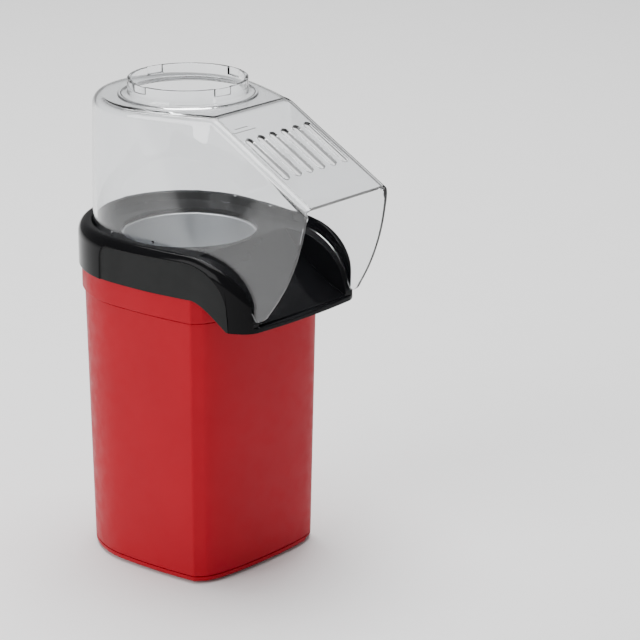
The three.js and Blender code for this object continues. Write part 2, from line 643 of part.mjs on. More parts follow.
function ductSolid() {
  const { radius, wall, bottom, top, flange, eye, arm } = duct;
  const floor = bottom + wall;
  const cup = turned([
    [eye, bottom], [radius + wall, bottom], [radius + wall, top - wall], [flange, top - wall], [flange, top],
    [radius, top], [radius, floor], [eye, floor],
  ]);
  const pad = cylinder(motor.radius + 2, bottom, floor);
  const arms = join(block(2 * eye + arm, arm, bottom, floor), block(arm, 2 * eye + arm, bottom, floor));
  const flangeHoles = ductSpots.map((spot) => cylinder(screw.hole, 0, upwards, ...spot));
  const motorHoles = motorSpots.map((spot) => cylinder(screw.clearance, 0, upwards, ...spot));
  return cut(join(cup, pad, arms), ...flangeHoles, ...motorHoles, cylinder(2 * shaftRadius, 0, upwards));
}

function fanSolid() {
  const { radius, blades, eye, bottom, top, plate, hub, lean } = fan;
  const bore = shaftRadius + gap;
  const hubBottom = duct.bottom + duct.wall + 1;
  const disc = turned([
    [bore, hubBottom], [hub, hubBottom], [hub, top - plate], [radius, top - plate], [radius, top], [bore, top],
  ]);
  const vanes = ringSpots(blades, (radius + eye) / 2 - 0.8, 0).map(([x, y]) => {
    const blade = new THREE.BoxGeometry(radius - eye, plate, top - bottom - plate / 2);
    blade.rotateZ(THREE.MathUtils.degToRad(lean) + Math.atan2(y, x));
    return solidOf(blade.translate(x, y, (top + bottom - plate / 2) / 2));
  });
  return both(join(disc, ...vanes), cylinder(radius, 0, upwards));
}

place(core, "fan_housing", ductSolid(), black);
addScrews(core, "housing_screw", ductSpots, shieldBottom + sheet + gap, 5);
place(core, "fan_impeller", fanSolid(), nylon);

// ---------------------------------------------------------------- motor
const magnetOuter = motor.radius - motor.can - gap;
const magnetInner = magnetOuter - 2.7;

function motorCanSolid() {
  const { radius, bottom, can } = motor;
  const made = turned([
    [radius - can, bottom], [radius, bottom], [radius, motorTop], [2 * shaftRadius, motorTop],
    [2 * shaftRadius, motorTop - can], [radius - can, motorTop - can],
  ]);
  return cut(made, ...motorSpots.map((spot) => cylinder(screw.hole, 0, upwards, ...spot)));
}

function magnetSolid() {
  const low = motor.bottom + 6;
  const high = motorTop - 7;
  const ring = cut(cylinder(magnetOuter, low, high), cylinder(magnetInner, 0, upwards));
  return both(ring, block(motor.radius, 1.3 * motor.radius, 0, upwards, motor.radius * 0.75, 0));
}

function armatureSolid() {
  const radius = magnetInner - 1;
  const stack = cylinder(radius, motor.bottom + 8, motorTop - 9);
  const slots = [0, 1, 2].map((i) => {
    const slot = new THREE.BoxGeometry(radius, 2.4, 2 * motorTop).translate(radius * 0.95, 0, motorTop);
    return solidOf(slot.rotateZ((i * 2 * Math.PI) / 3));
  });
  return cut(stack, ...slots, cylinder(shaftRadius + gap, 0, upwards));
}

// A turned ring on the shaft, from its bore out to a radius.
function onShaft(radius, low, high) {
  const bore = shaftRadius + gap;
  return turned([[bore, low], [radius, low], [radius, high], [bore, high]]);
}

place(core, "motor_can", motorCanSolid(), steel);
place(core, "motor_magnet_1", magnetSolid(), rubber);
place(core, "motor_magnet_2", magnetSolid(), rubber).rotation.z = Math.PI;
place(core, "motor_armature", armatureSolid(), copper);
place(core, "motor_commutator", onShaft(3.4, motor.bottom + 1, motor.bottom + 6.5), brass);
place(core, "motor_end_cap", onShaft(motor.radius, motor.bottom - motor.endCap, motor.bottom - gap), nylon);
place(core, "motor_shaft", cylinder(shaftRadius, motor.bottom - 3, fan.top - 2), steel);
addScrews(core, "motor_screw", motorSpots, duct.bottom + duct.wall + gap, 4);

// ---------------------------------------------------------------- rectifier on the motor's end
const boardTop = motor.bottom - motor.endCap - gap;
const boardLow = boardTop - 1.6;
const diode = { radius: 1.4, length: 5.4, x: 5, y: 5 };
place(core, "rectifier_board", cylinder(motor.radius - 1, boardLow, boardTop), resin);
[[-1, -1], [1, -1], [-1, 1], [1, 1]].forEach(([x, y], i) => {
  const solid = solidOf(new THREE.CylinderGeometry(diode.radius, diode.radius, diode.length, sidesOf(diode.radius)));
  const spot = [x * diode.x, y * diode.y, boardLow - diode.radius - gap];
  place(core, "rectifier_diode_" + (i + 1), solid, rubber, spot);
});

// ---------------------------------------------------------------- switch and cord gland on the back
const wallAt = (z) => body.radius * (1 + draft * z) + gap; // just outside the back wall

function switchSolid() {
  const { width, height, depth, flange, rise } = switchBox;
  const bezel = block(width + 2 * flange, rise, -height / 2 - flange, height / 2 + flange, 0, rise / 2);
  const box = block(width, depth, -height / 2, height / 2, 0, -depth / 2 + 0.5);
  const half = rocker.height / 2 + 1;
  const well = block(rocker.width + 2 * gap, depth, -half, half, 0, 4.5 - depth / 2);
  const tabs = [-5, 0, 5].map((z) => block(4.8, 7, z - sheet / 2, z + sheet / 2, 0, -depth - 2.5));
  return join(cut(join(bezel, box), well), ...tabs);
}

// A shallow V seen from the side, which stands proud at the end that isn't pressed.
function rockerSolid() {
  const half = rocker.height / 2;
  const lift = half * Math.tan(THREE.MathUtils.degToRad(rocker.tilt));
  const { crown, depth } = rocker;
  const outline = [
    [-crown - lift, -half], [3, -half + 0.8], [depth, -3], [depth, 3], [3, half - 0.8], [-crown - lift, half], [-crown, 0],
  ];
  return sideways(outline, rocker.width / 2);
}

function glandSolid() {
  const { radius, bore, flange, inner, thick } = gland;
  const wall = shellWall + 2 * gap + 0.4;
  return turned([
    [bore, -wall - thick], [inner, -wall - thick], [inner, -wall], [radius, -wall], [radius, 0], [flange, 0],
    [flange - 0.7, thick], [bore, thick],
  ]);
}

place(machine, "switch_housing", switchSolid(), black, [0, wallAt(switchBox.z), switchBox.z]);
const button = place(machine, "switch_rocker", rockerSolid(), black, [0, wallAt(switchBox.z) - 0.5, switchBox.z]);
button.rotation.x = THREE.MathUtils.degToRad(rocker.tilt);
place(machine, "cord_gland", glandSolid(), rubber, [0, wallAt(gland.z), gland.z]).rotation.x = -Math.PI / 2;

export default group;
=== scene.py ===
"""The looks of a small hot-air popcorn maker: a clear hood on a black collar with a chute, over a red
body. Sizes are in millimetres, as [across, forward, up], with forward towards the hood's mouth; they
turn into the frame's metres when a mesh is made."""

import json
import math

import bmesh
import bpy
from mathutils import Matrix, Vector


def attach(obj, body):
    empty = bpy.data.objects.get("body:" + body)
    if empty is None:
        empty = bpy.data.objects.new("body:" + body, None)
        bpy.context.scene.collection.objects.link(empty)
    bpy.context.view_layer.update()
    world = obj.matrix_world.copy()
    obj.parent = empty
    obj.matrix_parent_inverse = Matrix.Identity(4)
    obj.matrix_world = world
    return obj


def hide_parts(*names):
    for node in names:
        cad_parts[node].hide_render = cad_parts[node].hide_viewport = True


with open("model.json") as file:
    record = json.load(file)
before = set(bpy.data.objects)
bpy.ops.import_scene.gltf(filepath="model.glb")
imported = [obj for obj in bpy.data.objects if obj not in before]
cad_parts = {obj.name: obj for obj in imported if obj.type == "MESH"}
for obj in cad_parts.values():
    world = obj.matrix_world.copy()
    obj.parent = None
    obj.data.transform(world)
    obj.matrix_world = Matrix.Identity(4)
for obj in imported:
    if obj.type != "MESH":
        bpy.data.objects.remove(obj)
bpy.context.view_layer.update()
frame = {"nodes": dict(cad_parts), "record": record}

# ---------------------------------------------------------------- sizes
MM = 0.001
MACHINE_Y = 33.7  # the middle of the rounded back, in the frame
AXIS = 6  # the axis of the neck, chamber and fan, forward of that middle
GAP = 0.3
FAR = 400

BODY = {"radius": 56, "crease": (51.5, 55), "nose": (43.5, 62.3), "front": 65.5, "top": 165.5}
BODY_LOW, BODY_HIGH, DRAFT, SHELL_WALL = 4.8, 186, 0.0003, 2.2
BODY_RINGS = (14.7, 23.3, 36.2, 55.8, 80, 108, 136, 158)
BAND_START, BAND_STEP, BAND_FADE = 160.6, 1.5, 30
GROOVE = {"low": 162.9, "high": 163.7, "depth": 0.45}
BASE_LOW, BASE_HIGH = 1.5, 4.5
COLLAR_WALL, COLLAR_LOW, COLLAR_FOOT = 2.4, 178, 163
RIM_TOP, RIM_ROUND, RIM_FALL = 204, 5, (54, 99.5)
FLOOR_TOP, LEDGE_FALL = 199, (56, 96)
CHUTE = {"start": 49.5, "dip": (68, 175), "end": (100, 165.2), "half": 37}
HOOD_TOP, HOOD_LOW, HOOD_WALL, HOOD_ROUND = 280.3, 163, 2.2, 5.5
SLOPE_START, MOUTH_TOP = 56.8, (129.4, 241.3)
MOUTH_FOOT, MOUTH_BULGE = (105.5, 176.2), (126.5, 205)
TIP_START, TIP_LOW, TIP_HEEL, TIP_TOE = 93.6, (98, 170.3), 2.8, 4.5
SLOPE = (MOUTH_TOP[1] - HOOD_TOP) / (MOUTH_TOP[0] - SLOPE_START)
SLOPE_COS = 1 / math.hypot(1, SLOPE)
CREST_SOFT = 2.5  # the crest bends over this far on each side
NECK_RADIUS, NECK_TOP, NECK_STEP = 35.4, 290, 5.5
NOTCH = {"count": 4, "first": -10, "width": 11, "drop": 4.6, "depth": 1.1}
SLOPE_LINES = [((-26, 12.6), (-16, 12.6)), ((-30, 15.4), (-12, 15.4))]  # ends as (across, along the slope)
SLOPE_LINE = {"radius": 0.45, "lift": 0.3}
NUB = {"forward": (-5.5, 25.6), "above_rim": 1, "radius": 0.9}
EDGE_ROUND, CORNER_CLEAR = 0.45, 9  # the rounding stops this far from the mouth's top corners
SWITCH = {"width": 13, "height": 19, "depth": 15, "flange": 1.3, "rise": 2, "z": 46}
ROCKER = {"width": 10.4, "height": 15, "tilt": 8, "depth": 5, "crown": 1.8}
GLAND = {"radius": 4.2, "bore": 3.1, "flange": 6.2, "inner": 5.4, "thick": 1.5, "z": 19}
INTAKE = {"count": 9, "pitch": 7.6, "width": 3.6, "radius": 36, "rib_at": 12, "rib": 2.4}
FOOT_SPOTS = [(-36, -26), (36, -26), (-36, 46), (36, 46)]
FOOT = {"radius": 6.2, "top": 2.2, "bore": 0.4}
SCREW_HOLE = {"mouth": 3.5, "head": 3, "seat": 3.4, "clearance": 1.6}
SCREW_SPOTS = [(-36.35, -36.35), (36.35, -36.35), (-46.7, 49.9), (46.7, 49.9)]
CHAMBER = {"radius": 39.5, "wall": 1, "bottom": 118, "top": 195.7, "lip": 3.7}
LOUVRE = {"count": 16, "lean": 35, "half_width": 0.8, "half_length": 6, "z": 130}
PANEL_DEPTH = 0.7
VENT = {"count": 6, "pitch": 9.8, "width": 4.6, "length": 36, "start": 21.6, "margin": 3}


def at(p):
    x, forward, z = p
    return Vector((x * MM, (MACHINE_Y - forward) * MM, z * MM))


# ---------------------------------------------------------------- curves
def bend(a, corner, b, steps):
    """Points of the curve that leaves a towards the corner and reaches b from it."""
    points = []
    for i in range(steps + 1):
        t = i / steps
        points.append(tuple(p * (1 - t) ** 2 + 2 * q * t * (1 - t) + r * t * t for p, q, r in zip(a, corner, b)))
    return points


def bend_height(a, corner, b, forward):
    """The height of such a curve, whose points are (forward, up), at a place."""
    square = a[0] - 2 * corner[0] + b[0]
    half = corner[0] - a[0]
    reach = forward - a[0]
    t = (-half + math.sqrt(max(0, half * half + square * reach))) / square
    return a[1] * (1 - t) ** 2 + 2 * corner[1] * t * (1 - t) + b[1] * t * t


def falling(level, span, foot, forward):
    """The height of an edge that runs level and then falls along a quarter of an ellipse."""
    share = min(1, max(0, (forward - span[0]) / (span[1] - span[0])))
    return foot + (level - foot) * math.sqrt(1 - share * share)


def falling_edge(level, span, foot, steps=28):
    turns = [i / steps * math.pi / 2 for i in range(steps + 1)]
    return [(span[0] + (span[1] - span[0]) * math.sin(t), foot + (level - foot) * math.cos(t)) for t in turns]


def eased(table, forward):
    """A value from a table of (forward, value), joined by curves that never overshoot."""
    if forward <= table[0][0]:
        return table[0][1]
    for i in range(len(table) - 1):
        if forward <= table[i + 1][0]:
            break
    slopes = [(b[1] - a[1]) / (b[0] - a[0]) for a, b in zip(table, table[1:])]

    def tangent(k):
        if k in (0, len(table) - 1):
            return slopes[0] if k == 0 else slopes[-1]
        before, after = slopes[k - 1], slopes[k]
        return 0 if before * after <= 0 else 2 * before * after / (before + after)

    (a, low), (b, high) = table[i], table[i + 1]
    width = b - a
    t = min(1, (forward - a) / width)
    return (low * (1 + 2 * t) * (1 - t) ** 2 + width * tangent(i) * t * (1 - t) ** 2
            + high * t * t * (3 - 2 * t) + width * tangent(i + 1) * t * t * (t - 1))


# ---------------------------------------------------------------- plans
def rear_arc(radius, steps):
    turns = [i / steps * math.pi / 2 for i in range(steps)]
    return [(radius * math.sin(t), -radius * math.cos(t)) for t in turns]


def mirrored(half):
    """A closed outline, anticlockwise from above, from half of it that runs from the back to the front."""
    return [(-x, f) for x, f in half] + [(x, f) for x, f in reversed(half[1:-1])]


def grown(plan, distance):
    """A closed plan with each side moved outwards by a distance, which may depend on forward."""
    made = []
    for i, (x, f) in enumerate(plan):
        (ax, af), (bx, bf) = plan[i - 1], plan[(i + 1) % len(plan)]
        first = Vector((af - f, x - ax)).normalized()
        second = Vector((f - bf, bx - x)).normalized()
        miter = first + second
        far = distance(f) if callable(distance) else distance
        step = miter * (2 * far / miter.length_squared)
        made.append((x + step.x, f + step.y))
    return made


def body_plan(z=0, grow=0.0):
    (cx, cf), (nx, nf), front = BODY["crease"], BODY["nose"], BODY["front"]
    side = bend((BODY["radius"], 0), (BODY["radius"], cf / 2), (cx, cf), 14)
    side = side[:-1] + bend((cx + 0.12, cf - 1), (cx, cf), (cx - 0.7, cf + 0.65), 4)
    nose = bend((nx + 3.4, nf - 3.1), (nx, nf), (nx - 11, nf + 1.5), 8)
    face = bend(nose[-1], (nx / 2, front), (0, front), 6)[1:]
    plan = mirrored(rear_arc(BODY["radius"], 24) + side + nose + face)
    wide = 1 + DRAFT * z
    return grown([(x * wide, f * wide) for x, f in plan], grow)


def band_fade(forward):
    return min(1, max(0, (BODY["crease"][1] - forward) / (BODY["crease"][1] - BAND_FADE)))


def collar_plan(grow=0.0):
    side = bend((62, 0), (62, 30), (56, 60), 16)
    turn = bend((56, 60), (53.5, 94.5), (39, 97.2), 22)[1:]
    face = bend((39, 97.2), (19.5, 99), (0, 99), 8)[1:]
    return grown(mirrored(rear_arc(62, 30) + side + turn + face), grow)


HOOD_TOPS = [(0, 51.6), (12, 49.6), (25, 45.6), (42, 39.6), (56.8, 34.4), (75, 34.4), (100.5, 34.7), (141.4, 35)]
HOOD_LOWS = [(0, 53.6), (12, 53.4), (25, 53), (42, 52.2), (56.8, 50.6), (75, 47.6), (100.5, 41.6), (129.4, 38),
             (141.4, 37.5)]


def crest(forward):
    soft = min(2 * CREST_SOFT, max(0, forward - SLOPE_START + CREST_SOFT))
    past = max(0, forward - SLOPE_START - CREST_SOFT)
    return HOOD_TOP + SLOPE * (soft * soft / (4 * CREST_SOFT) + past)


def hood_half(forward, z):
    """The hood's half width at a place on its side."""
    top, low = eased(HOOD_TOPS, forward), eased(HOOD_LOWS, forward)
    start = crest(forward) - HOOD_ROUND
    down = min(1, max(0, (start - z) / (start - HOOD_LOW)))
    ease = 0.04
    share = ((down + ease) ** 0.7 - ease**0.7) / ((1 + ease) ** 0.7 - ease**0.7)
    return top + (low - top) * share


def hood_plan(grow=0.0):
    half = [(low, f) for f, low in ((f, eased(HOOD_LOWS, f)) for f in range(0, 142, 4))]
    return grown(mirrored(rear_arc(HOOD_LOWS[0][1], 30) + half + [(0, half[-1][1])]), grow)


# ---------------------------------------------------------------- meshes
class Net:
    """A mesh given by the corners of its faces, which meet where their corners agree."""

    def __init__(self):
        self.bm = bmesh.new()
        self.found = {}

    def vert(self, p):
        key = tuple(round(c, 3) for c in p)
        if key not in self.found:
            self.found[key] = self.bm.verts.new(at(p))
        return self.found[key]

    def face(self, *points):
        verts = []
        for p in points:
            v = self.vert(p)
            if v not in verts:
                verts.append(v)
        if len(verts) > 2 and not self.bm.faces.get(verts):
            self.bm.faces.new(verts)

    def rows(self, loops, closed=True):
        for low, high in zip(loops, loops[1:]):
            count = len(low)
            for j in range(count if closed else count - 1):
                k = (j + 1) % count
                self.face(low[j], low[k], high[k], high[j])

    def mesh(self, name):
        bmesh.ops.recalc_face_normals(self.bm, faces=self.bm.faces)
        data = bpy.data.meshes.new(name)
        self.bm.to_mesh(data)
        self.bm.free()
        return data


def object_of(data, *materials):
    made = bpy.data.objects.new(data.name, data)
    bpy.context.scene.collection.objects.link(made)
    for material in materials:
        data.materials.append(material)
    return made


def solid_loft(name, loops, strips=False):
    """A closed body through closed loops of equal length, with a cap at each end. The last cap may be
    made of strips that run across a mirrored outline, so that it can follow a falling edge."""
    net = Net()
    net.rows(loops)
    net.face(*reversed(loops[0]))
    top = loops[-1]
    if strips:
        for i in range(len(top) // 2):
            net.face(top[i], top[i + 1], top[-i - 1], top[-i])
    else:
        net.face(*top)
    return object_of(net.mesh(name))


def prism(name, plan, low, high):
    return solid_loft(name, [[(x, f, low) for x, f in plan], [(x, f, high) for x, f in plan]])


def sideways(name, outline, half, middle=0):
    """A body swept across the machine from an outline of (forward, up)."""
    return solid_loft(name, [[(middle + s * half, f, z) for f, z in outline] for s in (-1, 1)])


def above(name, edge, half=FAR):
    level = [(-FAR, edge[0][1])] + edge + [(FAR, edge[-1][1])]
    return sideways(name, level + [(FAR, FAR), (-FAR, FAR)], half)


def below(name, edge, half=FAR, back=-FAR):
    level = [(back, edge[0][1])] + edge + [(FAR, edge[-1][1])]
    return sideways(name, level + [(FAR, -FAR), (back, -FAR)], half)


def apply_all(made):
    """Turns an object's modifiers into its mesh."""
    evaluated = made.evaluated_get(bpy.context.evaluated_depsgraph_get())
    data = bpy.data.meshes.new_from_object(evaluated)
    made.modifiers.clear()
    made.data = data
    return made


def combine(made, how, *others):
    """Cuts other bodies out of one, or joins or keeps what they share, and drops the others."""
    for other in others:
        step = made.modifiers.new(how, "BOOLEAN")
        step.operation = how
        step.solver = "MANIFOLD"
        step.object = other
    apply_all(made)
    for other in others:
        bpy.data.objects.remove(other)
    return made


def round_edges(made, width, angle=38, segments=2):
    step = made.modifiers.new("rounded", "BEVEL")
    step.width = width * MM
    step.segments = segments
    step.limit_method = "ANGLE"
    step.angle_limit = math.radians(angle)
    step.use_clamp_overlap = False
    step.miter_outer = "MITER_ARC"
    return step


def round_marked(made, width, angle, skip):
    """Rounds the edges that turn by more than an angle, apart from those near a spot that skip picks."""
    net = bmesh.new()
    net.from_mesh(made.data)
    marks = net.edges.layers.float.new("bevel_weight_edge")
    for edge in net.edges:
        clear = not any(skip(v.co / MM) for v in edge.verts)
        edge[marks] = float(clear and edge.calc_face_angle(0) > math.radians(angle))
    net.to_mesh(made.data)
    net.free()
    round_edges(made, width).limit_method = "WEIGHT"


def smooth(made, angle=32):
    apply_all(made)
    made.data.shade_smooth()
    made.data.set_sharp_from_angle(angle=math.radians(angle))
    step = made.modifiers.new("weighted", "WEIGHTED_NORMAL")
    step.keep_sharp = True
    return made


def settle(made, body, slot, *nodes):
    """A finished piece moves with its body and stands for its nodes."""
    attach(made, body)
    if nodes:
        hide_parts(*nodes)
    return made


# ---------------------------------------------------------------- materials
def node(tree, kind, inputs=None, **settings):
    made = tree.nodes.new(kind)
    for key, value in settings.items():
        setattr(made, key, value)
    for key, value in (inputs or {}).items():
        if isinstance(value, bpy.types.NodeSocket):
            tree.links.new(value, made.inputs[key])
        else:
            made.inputs[key].default_value = value
    return made


def spread(tree, source, low, high, start=0.35, end=0.65):
    ranged = node(tree, "ShaderNodeMapRange", {"Value": source, "From Min": start, "From Max": end})
    ranged.inputs["To Min"].default_value = low
    ranged.inputs["To Max"].default_value = high
    return ranged.outputs["Result"]


def finish(name, colour, roughness, metallic=0.0, grain=1.0, relief=0.02, mottle=0.06, uneven=0.06,
           coat=0.0, coat_roughness=0.1, shine=0.5, ior=1.5, turned=False, stretch=(1, 1, 1)):
    """A surface with a fine grain in its relief, patchy roughness and a slight drift of colour."""
    made = bpy.data.materials.new(name)
    made.use_nodes = True
    tree = made.node_tree
    shader = tree.nodes["Principled BSDF"]
    place = node(tree, "ShaderNodeTexCoord").outputs["Object"]
    laid = node(tree, "ShaderNodeMapping", {"Vector": place, "Scale": stretch}).outputs["Vector"]
    patches = node(tree, "ShaderNodeTexNoise", {"Vector": place, "Scale": 22.0, "Detail": 4.0}).outputs["Fac"]
    smudges = node(tree, "ShaderNodeTexNoise", {"Vector": place, "Scale": 140.0, "Detail": 3.0}).outputs["Fac"]
    fine = node(tree, "ShaderNodeTexNoise", {"Vector": laid, "Scale": 1000.0 / grain, "Detail": 2.0}).outputs["Fac"]
    if turned:
        axis = (0, -(MACHINE_Y - AXIS) * MM, 0)
        centred = node(tree, "ShaderNodeMapping", {"Vector": place, "Location": axis}).outputs["Vector"]
        inputs = {"Vector": centred, "Scale": 500.0, "Distortion": 0.6, "Detail": 2.0}
        rings = node(tree, "ShaderNodeTexWave", inputs, wave_type="RINGS", rings_direction="Z")
        fine = rings.outputs["Fac"]
    dark = [c * (1 - mottle) for c in colour]
    light = [min(1, c * (1 + mottle)) for c in colour]
    tone = node(tree, "ShaderNodeMix", {"Factor": spread(tree, patches, 0, 1)}, data_type="RGBA")
    tone.inputs["A"].default_value = (*dark, 1)
    tone.inputs["B"].default_value = (*light, 1)
    tree.links.new(tone.outputs["Result"], shader.inputs["Base Color"])
    tree.links.new(spread(tree, smudges, roughness - uneven, roughness + uneven), shader.inputs["Roughness"])
    bump = node(tree, "ShaderNodeBump", {"Height": fine, "Strength": 0.5, "Distance": relief * MM})
    tree.links.new(bump.outputs["Normal"], shader.inputs["Normal"])
    shader.inputs["Metallic"].default_value = metallic
    shader.inputs["Specular IOR Level"].default_value = shine
    shader.inputs["IOR"].default_value = ior
    shader.inputs["Coat Weight"].default_value = coat
    shader.inputs["Coat Roughness"].default_value = coat_roughness
    return made


def clear_finish(name, tint, roughness):
    """A clear plastic that refracts, and lets lamps shine through it."""
    made = finish(name, tint, roughness, relief=0.01, grain=6, mottle=0.004, uneven=roughness * 0.5)
    tree = made.node_tree
    shader = tree.nodes["Principled BSDF"]
    shader.inputs["Transmission Weight"].default_value = 1
    through = node(tree, "ShaderNodeBsdfTransparent", {"Color": (0.93, 0.94, 0.95, 1)}).outputs["BSDF"]
    shadow = node(tree, "ShaderNodeLightPath").outputs["Is Shadow Ray"]
    mixed = node(tree, "ShaderNodeMixShader", {0: shadow, 1: shader.outputs["BSDF"], 2: through})
    tree.links.new(mixed.outputs["Shader"], tree.nodes["Material Output"].inputs["Surface"])
    return made


RED = finish("red_satin", (0.335, 0.0035, 0.0125), 0.45, grain=0.9, relief=0.012, mottle=0.03, shine=0.25, ior=1.3)
BLACK = finish("black_gloss", (0.0035, 0.0035, 0.004), 0.11, grain=2.5, relief=0.006, mottle=0.1, uneven=0.03,
               shine=0.24, ior=1.25)
PANEL = finish("black_matt", (0.0155, 0.016, 0.016), 0.55, grain=0.7, relief=0.05, mottle=0.08, shine=0.2, ior=1.3)
CLEAR = clear_finish("clear", (0.93, 0.94, 0.95), 0.02)
RUBBER = finish("rubber", (0.018, 0.018, 0.019), 0.8, grain=0.8, relief=0.06, mottle=0.15)
ZINC = finish("zinc", (0.62, 0.63, 0.64), 0.32, 1.0, grain=0.5, relief=0.02, mottle=0.1)
STEEL = finish("sheet_steel", (0.50, 0.51, 0.52), 0.36, 1.0, grain=0.6, relief=0.02, mottle=0.1,
               stretch=(1, 1, 0.1))
SPUN = finish("spun_aluminium", (0.62, 0.63, 0.64), 0.4, 1.0, relief=0.008, mottle=0.03, uneven=0.02, turned=True)
MICA = finish("mica", (0.42, 0.33, 0.17), 0.5, grain=1.4, relief=0.05, mottle=0.25, coat=0.3)
WIRE = finish("resistance_wire", (0.32, 0.30, 0.29), 0.42, 1.0, grain=0.5, relief=0.02, mottle=0.2)
BRASS = finish("brass", (0.75, 0.56, 0.24), 0.3, 1.0, grain=0.7, relief=0.02, mottle=0.1)
NYLON = finish("natural_nylon", (0.72, 0.69, 0.60), 0.48, grain=1.2, relief=0.03, mottle=0.04)
COPPER = finish("copper", (0.72, 0.30, 0.13), 0.32, 1.0, grain=0.4, relief=0.08, mottle=0.15, stretch=(1, 1, 3))
BOARD = finish("green_board", (0.05, 0.22, 0.09), 0.42, grain=0.9, relief=0.04, mottle=0.12, coat=0.3)
RESIN = finish("dark_resin", (0.02, 0.02, 0.022), 0.5, grain=0.7, relief=0.04, mottle=0.2)
INNER = finish("inner_black", (0.02, 0.02, 0.022), 0.45, grain=1.0, relief=0.04, mottle=0.1)

FINISHES = {
    "red_plastic": RED, "black_plastic": BLACK, "clear_plastic": CLEAR, "black_rubber": RUBBER, "zinc_steel": ZINC,
    "sheet_steel": STEEL, "spun_aluminium": SPUN, "mica": MICA, "resistance_wire": WIRE, "brass": BRASS,
    "natural_nylon": NYLON, "wound_copper": COPPER, "green_board": BOARD, "dark_resin": RESIN,
    "inner_black_plastic": INNER,
}
for part in frame["record"]["subparts"]:
    kept = frame["nodes"][part["node"]]
    kept.data.materials.clear()
    kept.data.materials.append(FINISHES[part["material_slot"]])


# ---------------------------------------------------------------- hood
def hood_foot(forward):
    """The height of the hood's lower edge, or of the mouth's edge in front of its foot."""
    tip = falling(FLOOR_TOP, LEDGE_FALL, COLLAR_FOOT + 3, TIP_START) + GAP
    if forward <= TIP_START:
        return falling(FLOOR_TOP, LEDGE_FALL, COLLAR_FOOT + 3, forward) + GAP
    if forward <= TIP_LOW[0]:
        return bend_height((TIP_START, tip), (TIP_START + TIP_HEEL, TIP_LOW[1]), TIP_LOW, forward)
    if forward < MOUTH_FOOT[0]:
        return bend_height(TIP_LOW, (TIP_LOW[0] + TIP_TOE, TIP_LOW[1]), MOUTH_FOOT, forward)
    return bend_height(MOUTH_FOOT, MOUTH_BULGE, MOUTH_TOP, forward)


VENT_LINES = [
    SLOPE_START + along * SLOPE_COS
    for along in (VENT["start"] - VENT["margin"], VENT["start"] + VENT["length"] + VENT["margin"])
]


def hood_stations():
    """Places along the hood's side, close together where its lower edge bends."""
    fixed = [SLOPE_START - CREST_SOFT, SLOPE_START + CREST_SOFT, *VENT_LINES]
    free = [4 * i for i in range(14)] + [SLOPE_START - 1, SLOPE_START, SLOPE_START + 1]
    ledge_start, ledge_end = LEDGE_FALL
    free += [ledge_start + (ledge_end - ledge_start) * math.sin(math.radians(4 * i)) for i in range(2, 18)]
    free += [f for f, _ in bend((TIP_START, 0), (TIP_START + TIP_HEEL, 0), TIP_LOW, 7)]
    free += [f for f, _ in bend(TIP_LOW, (TIP_LOW[0] + TIP_TOE, 0), MOUTH_FOOT, 7)]
    free += [f for f, _ in bend(MOUTH_FOOT, MOUTH_BULGE, MOUTH_TOP, 26)]
    near = 0.5
    free = [f for f in free if f > MOUTH_FOOT[0] or min(abs(f - g) for g in fixed) > near]
    return sorted(set(fixed + free))


def hood_column(forward, spot):
    """Points up the wall and over the rounding. spot turns a half width and height into a point.
    Where the mouth's edge starts above the wall, only the rest of the rounding is left."""
    rows, turns = 12, 7
    foot, start = hood_foot(forward), crest(forward) - HOOD_ROUND
    first = math.asin(min(1, max(0, foot - start) / HOOD_ROUND))

    def on_rounding(turn):
        wide = hood_half(forward, start) - HOOD_ROUND * (1 - math.cos(turn))
        return spot(wide, start + HOOD_ROUND * math.sin(turn))

    if first:
        wall = [on_rounding(first)] * rows
    else:
        heights = [foot + (start - foot) * i / rows for i in range(rows)]
        wall = [spot(hood_half(forward, z), z) for z in heights]
    return wall + [on_rounding(first + (math.pi / 2 - first) * i / turns) for i in range(turns + 1)]


def neck_ring(radius, z, spots):
    """A ring round the neck's axis, each point in the direction of the spot that it goes with."""
    ring = []
    for x, f, _ in spots:
        away = math.hypot(x, f - AXIS)
        ring.append((radius * x / away, AXIS + radius * (f - AXIS) / away, z))
    return ring


def vent_outline(x, side):
    """One side of a slot, from its lower end up to its upper end, as (across, along the slope)."""
    half = VENT["width"] / 2
    low, high = VENT["start"] + VENT["length"], VENT["start"]
    turns = [math.pi / 2 * i / 6 for i in range(7)]
    lower = [(x + side * half * math.sin(t), low - half + half * math.cos(t)) for t in turns]
    return lower + [(px, high + low - s) for px, s in reversed(lower)]


def on_slope(x, along):
    forward = SLOPE_START + along * SLOPE_COS
    return (x, forward, crest(forward))


